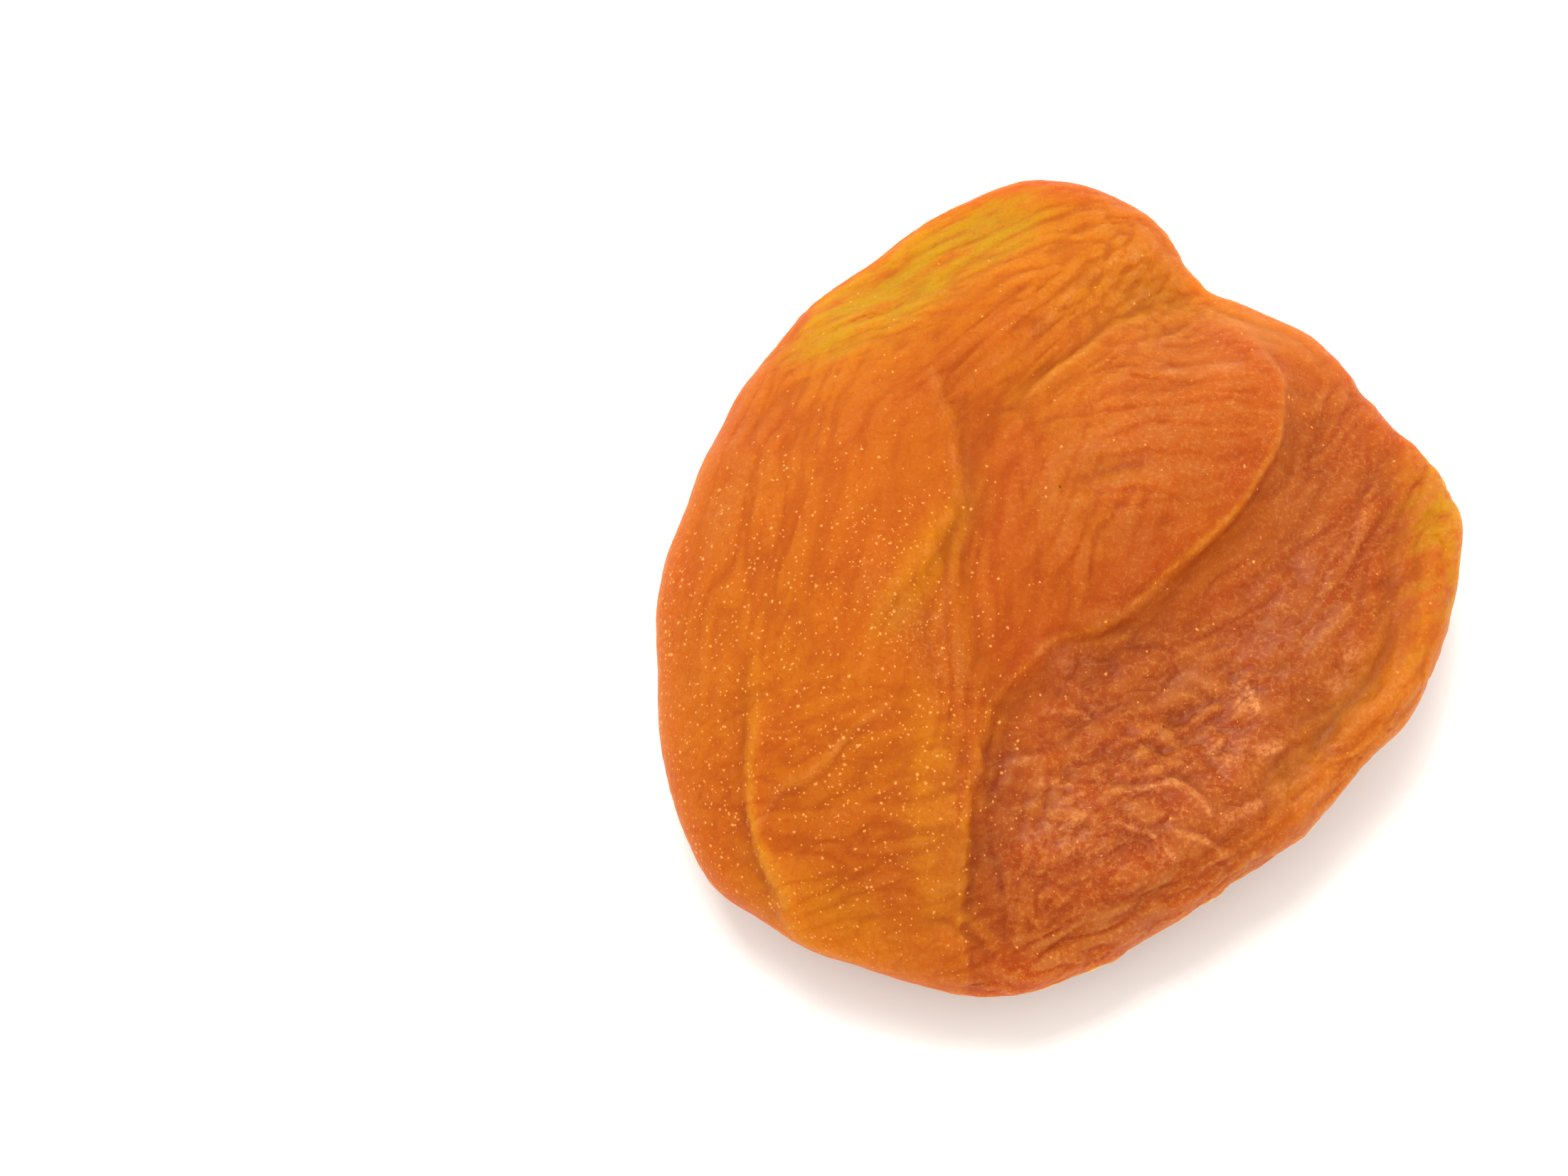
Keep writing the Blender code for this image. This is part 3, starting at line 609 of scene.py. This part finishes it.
def flesh_material():
    """Moist flesh that light passes through, coloured by patterns and by the values kept on its points, among
    them painted shade, painted glow and painted glints.
    """
    material = bpy.data.materials.new("apricot_flesh")
    material.use_nodes = True
    tree = material.node_tree
    shader = tree.nodes["Principled BSDF"]
    where = tree.nodes.new("ShaderNodeTexCoord").outputs["Object"]
    place = scaled(tree, where, 1 / MM)
    lying = vector_node(tree, "MULTIPLY", turned(tree, place, FILM_LIE), (0.55, 1.0, 1.0))
    fibre_place = vector_node(tree, "MULTIPLY", turned(tree, place, FIBRE_LIE), (0.9, 4.0, 1.5))
    streak_place = vector_node(tree, "MULTIPLY", lying, (0.6, 1.5, 1.5))

    # The patterns, each with its repeats in a millimetre
    blotch = pattern_noise(tree, place, 0.22, 3)
    mottle = pattern_noise(tree, place, 1.1, 4, 0.6, 0.4)
    frost = pattern_noise(tree, place, 4.6, 4, 0.8)
    grain = pattern_noise(tree, place, 6.0, 3, 0.75)
    fibre = pattern_noise(tree, fibre_place, 1.0, 2, 0.5, 0.3)
    streaks = pattern_noise(tree, streak_place, 0.9, 3, 0.6, 0.3)
    ridges = film_folds(tree, lying, 0.7, 5)
    furrows = thin_lines(tree, place, 0.6, 0.03)
    crest, wet, bloom, sugared = (attribute(tree, name) for name in ("crest", "wet", "bloom", "sugar"))

    def times(a, b):
        return math_node(tree, "MULTIPLY", a, b)

    def plus(a, b):
        return math_node(tree, "ADD", a, b)

    def larger(a, b):
        return math_node(tree, "MAXIMUM", a, b)

    def painted(color, share, name):
        return mixed(tree, share, color, srgb(*FLESH_COLORS[name]))

    # The colours, laid one over the other from the flesh itself to the sugar and specks on it
    color = painted(srgb(*FLESH_COLORS["amber"]), ramp(tree, blotch, 0.38, 0.62), "russet")
    # Ripe golden tone, with painted glow along the lips and pale bands where light would shine through
    color = painted(color, attribute(tree, "ripe_and_glow"), "ripe_and_glow")
    # Painted shade over the sunken side and in its folds, mottled
    sunk_shade = times(plus(times(mottle, 0.8), 0.6), attribute(tree, "sunk_shade"))
    color = painted(color, sunk_shade, "sunk_shade")
    # Painted shade in the wrinkles' troughs and along thin furrow lines
    furrow_shade = larger(times(ramp(tree, crest, 0.2, -0.7), 0.35), times(furrows, 0.25))
    color = painted(color, furrow_shade, "furrow_shade")
    # Painted yellow light shining through thin flesh, in streaks
    streak = math_node(tree, "SUBTRACT", plus(times(mottle, 0.6), times(streaks, 3.4)), 1.0)
    color = painted(color, ramp(tree, times(attribute(tree, "thin_glow"), streak), 0.1, 1.2), "thin_glow")
    haze = ramp(tree, plus(mottle, times(crest, 0.4)), 0.25, 0.95)
    haze = larger(times(bloom, haze), times(ridges, times(wet, 0.6)))
    color = painted(color, haze, "haze")
    # Pale rime on crests, with painted glints on the sunken side's facets
    rime_and_glint = plus(ramp(tree, mottle, 0.35, 0.65), times(ridges, 0.4))
    rime_and_glint = times(attribute(tree, "rime_and_glint"), times(rime_and_glint, ramp(tree, frost, 0.3, 0.6)))
    color = painted(color, times(rime_and_glint, 0.75), "rime_and_glint")
    frosted = times(plus(bloom, 0.2), ramp(tree, frost, 0.48, 0.66))
    color = painted(color, times(frosted, 0.55), "frost")
    coarse = sugar_dots(tree, place, 2.6, 0.25, times(sugared, 0.85))
    small = sugar_dots(tree, place, 4.2, 0.28, times(sugared, 0.7))
    sugar = larger(coarse, small)
    color = painted(color, times(sugar, 0.75), "sugar")
    color = painted(color, times(ramp(tree, grain, 0.55, 0.3), 0.3), "pore")
    color = painted(color, times(sugar_dots(tree, place, 1.1, 0.1, 0.008), 0.8), "speck")
    tree.links.new(color, shader.inputs["Base Color"])

    # Light goes millimetres deep, and the sunken side has a moist film
    dry = plus(times(mottle, 0.25), 0.36)
    tree.links.new(math_node(tree, "SUBTRACT", dry, times(wet, 0.16)), shader.inputs["Roughness"])
    shader.inputs["Subsurface Weight"].default_value = 1
    shader.inputs["Subsurface Radius"].default_value = (1.0, 0.45, 0.15)
    shader.inputs["Subsurface Scale"].default_value = 5 * MM
    tree.links.new(times(wet, 0.11), shader.inputs["Coat Weight"])
    shader.inputs["Coat Roughness"].default_value = 0.2
    shader.inputs["Coat IOR"].default_value = 1.4
    shader.inputs["Sheen Weight"].default_value = 0.1
    shader.inputs["Sheen Roughness"].default_value = 0.3
    shader.inputs["Sheen Tint"].default_value = srgb(255, 196, 140)
    shader.inputs["Specular IOR Level"].default_value = 0.11
    shader.inputs["IOR"].default_value = 1.42

    # Heights of the finest relief, in millimetres
    height = times(mottle, 0.08)
    for pattern, size in ((frost, 0.08), (grain, 0.03), (fibre, 0.05), (sugar, 0.03), (furrows, -0.01)):
        height = plus(height, times(pattern, size))
    height = plus(height, times(ridges, times(wet, 0.04)))
    bump = tree.nodes.new("ShaderNodeBump")
    bump.inputs["Strength"].default_value = 1
    bump.inputs["Distance"].default_value = MM
    tree.links.new(height, bump.inputs["Height"])
    tree.links.new(bump.outputs[0], shader.inputs["Normal"])
    return material


flesh_paint = flesh_material()
flesh.data.materials.append(flesh_paint)
wrinkled = flesh.modifiers.new("wrinkled_skin", "NODES")
wrinkled.node_group = wrinkled_skin_tree(flesh_paint)
apply_modifiers(flesh)

# The skin presses flat where it lies, just clear of the floor
CLEAR_OF_FLOOR = 0.02
points = read_vectors(flesh.data.vertices, "co") / MM
points[:, 2] = np.maximum(points[:, 2], CLEAR_OF_FLOOR)
flesh.data.vertices.foreach_set("co", (points * MM).astype(np.float32).ravel())
flesh.data.update()

# How sunk (as painted shade), thin and ripe (as painted glow), frosted, sugared and wet each part of the skin
# is, kept on its points for the material
normals = read_vectors(flesh.data.vertices, "normal")
ends = np.empty(len(flesh.data.edges) * 2, np.int32)
flesh.data.edges.foreach_get("vertices", ends)
ends = ends.reshape(-1, 2)
neighbours = np.bincount(ends.ravel(), minlength=len(points))


def neighbour_mean(values):
    """The mean of each point's own value and of those its edges lead to."""
    total = values + np.bincount(ends[:, 0], values[ends[:, 1]], len(values))
    total += np.bincount(ends[:, 1], values[ends[:, 0]], len(values))
    return total / (neighbours + 1)


def hollowness(rounds):
    """How far each point lies below the skin round it, in millimetres."""
    mean = points.copy()
    for _ in range(rounds):
        mean = np.stack([neighbour_mean(mean[:, axis]) for axis in range(3)], 1)
    return ((mean - points) * normals).sum(1)


# Middle, half length, half breadth and turn of an oval of skin, in millimetres and degrees, and its amount
Patch = namedtuple("Patch", "x y long short turn amount")
PATCH_EDGE = 1.6


def patches(*listed):
    """Soft-edged ovals of skin, seen from above, added together."""
    total = np.zeros(len(points))
    for patch in listed:
        turn = math.radians(patch.turn)
        dx = points[:, 0] + MIDDLE[0] - patch.x
        dy = points[:, 1] + MIDDLE[1] - patch.y
        along = (dx * math.cos(turn) + dy * math.sin(turn)) / patch.long
        across = (dy * math.cos(turn) - dx * math.sin(turn)) / patch.short
        total += patch.amount * np.exp(-((along**2 + across**2) ** PATCH_EDGE))
    return total


def read_values(name):
    values = np.empty(len(points), np.float32)
    flesh.data.attributes[name].data.foreach_get("value", values)
    return values.astype(float)


def share_of(values):
    return np.clip(values, 0, 1)


upper = smooth_step(-0.2, 0.3, normals[:, 2])
inside_rim = smooth_step(0.35, 0.85, normals[:, 2])
narrow = hollowness(rounds=6)
wide = hollowness(rounds=45)
groove, lip = read_values("groove"), read_values("lip")
basin = upper * patches(Patch(5.0, -9.5, 11.5, 6.5, 35, 1), Patch(12.5, 3.0, 7.5, 3.5, 75, 0.7))
lobe = patches(Patch(5.0, 6.5, 7.5, 5.0, 40, 1), Patch(2.0, 14.0, 6.0, 4.0, 20, 0.5))
cheek = upper * patches(Patch(-10.5, -5.0, 14.0, 7.5, 95, 1))
# Painted yellow light shining through the thin top-left edge
edge_yellow = inside_rim * patches(
    Patch(-3.8, 17.2, 3.8, 1.9, 22, 0.6), Patch(-9.0, 13.2, 4.4, 2.3, 36, 0.55),
    Patch(-6.6, 14.8, 9.5, 4.2, 33, 0.35))
# Painted yellow light shining through the thin right rim
rim_yellow = upper * patches(Patch(18.8, 3.4, 6.0, 2.4, 86, 0.5), Patch(17.4, 1.5, 9.5, 3.6, 84, 0.3))
pale_bands = upper * patches(
    Patch(-16.5, -7.0, 9.0, 2.0, 80, 0.15), Patch(-6.0, -13.0, 5.0, 1.3, 94, 1.0),
    Patch(13.3, -8.4, 7.5, 2.9, 50, 1.0), Patch(-11.0, -16.5, 5.5, 1.6, 150, 0.6),
    Patch(-7.5, 12.0, 6.0, 3.0, 35, 0.6), Patch(1.5, 16.0, 6.5, 3.5, -5, 0.75),
    Patch(9.0, 13.0, 5.0, 1.5, -35, 0.5), Patch(-6.5, -1.0, 5.0, 1.0, 60, 0.6),
    Patch(0.5, 10.0, 5.5, 3.5, 45, 0.45), Patch(1.0, 2.5, 4.5, 3.0, 60, 0.3))
# Painted highlights on facets of the sunken side
glints = upper * patches(
    Patch(8.2, -6.6, 0.9, 0.5, -50, 0.8), Patch(7.3, -9.2, 0.9, 0.45, -20, 0.8),
    Patch(4.2, -14.0, 0.5, 0.45, 0, 0.9), Patch(9.2, -8.8, 0.8, 0.35, 25, 0.6),
    Patch(8.0, -11.7, 1.2, 0.3, 22, 0.8), Patch(12.8, -5.1, 1.4, 0.7, 60, 0.6),
    Patch(0.2, -12.8, 2.0, 1.3, 20, 0.35), Patch(0.0, -4.9, 1.5, 0.8, -10, 0.35))
# The depths and height, in millimetres, at which a wrinkle, a fold and a ridge show in full
WRINKLE_DEPTH, FOLD_DEPTH, RIDGE_HEIGHT = 0.05, 0.5, 0.04
creased = 0.35 * share_of(narrow / WRINKLE_DEPTH) + 0.5 * share_of(wide / FOLD_DEPTH) + 0.35 * groove
ridged = share_of(-narrow / RIDGE_HEIGHT)
frosted = patches(
    Patch(-6.9, -4.2, 3.5, 1.3, -48, 0.7), Patch(-19.0, -2.0, 10.0, 1.6, 87, 0.35),
    Patch(-15.5, 4.0, 3.0, 1.5, 70, 0.3), Patch(5.0, 15.0, 3.5, 2.0, 40, 0.3),
    Patch(2.5, -18.5, 9.0, 2.6, 22, 0.6), Patch(12.0, -13.0, 8.0, 1.8, 50, 0.4))
clear_skin = patches(
    Patch(2.0, 13.5, 7.5, 5.5, 25, 0.8), Patch(-3.0, 8.5, 6.0, 3.0, 50, 0.3),
    Patch(-2.2, -6.0, 3.6, 2.0, 55, 0.8), Patch(12.0, -7.4, 7.5, 2.2, 47, 0.9))
# Painted shade along the foot of the folds, under the lobe's edge and beside the cheek
painted_fold_shade = upper * patches(Patch(-3.1, -12.5, 5.0, 1.0, 85, 0.35), Patch(1.8, -4.9, 4.5, 0.9, 25, 0.35))
outer_sugar = upper * patches(Patch(-16.3, -7.5, 8.0, 2.4, 103, 0.8))
low_on_cheek = smooth_step(8, -3, points[:, 1])
bloom = 0.2 + 0.55 * basin + 0.35 * lobe - 0.2 * cheek - edge_yellow + frosted
bloom += 0.3 * ridged - 0.6 * creased - 0.2 * clear_skin
# Painted shade in the sunken side and in its folds and creases
store(flesh.data, "sunk_shade", share_of(0.55 * basin + 0.6 * creased * share_of(1 - clear_skin) + painted_fold_shade))
# Painted yellow light through thin edges and along the lips
store(flesh.data, "thin_glow", share_of(edge_yellow + rim_yellow + 0.35 * lip))
# Ripe golden tone, with painted glow of light through the flesh along the lips and in the pale bands
store(flesh.data, "ripe_and_glow", share_of(pale_bands + 0.4 * cheek + 0.8 * lip))
store(flesh.data, "bloom", 0.8 * share_of(bloom))
# Pale rime with painted glints
store(flesh.data, "rime_and_glint", share_of(read_values("rime_and_glint") + glints))
store(flesh.data, "sugar", np.clip(cheek * (low_on_cheek + 0.2) + outer_sugar, 0.05, 1))
store(flesh.data, "wet", share_of(0.9 * basin + 0.3 * lobe))
flesh.data.shade_smooth()

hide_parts("dried_apricot")
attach(flesh, "root")
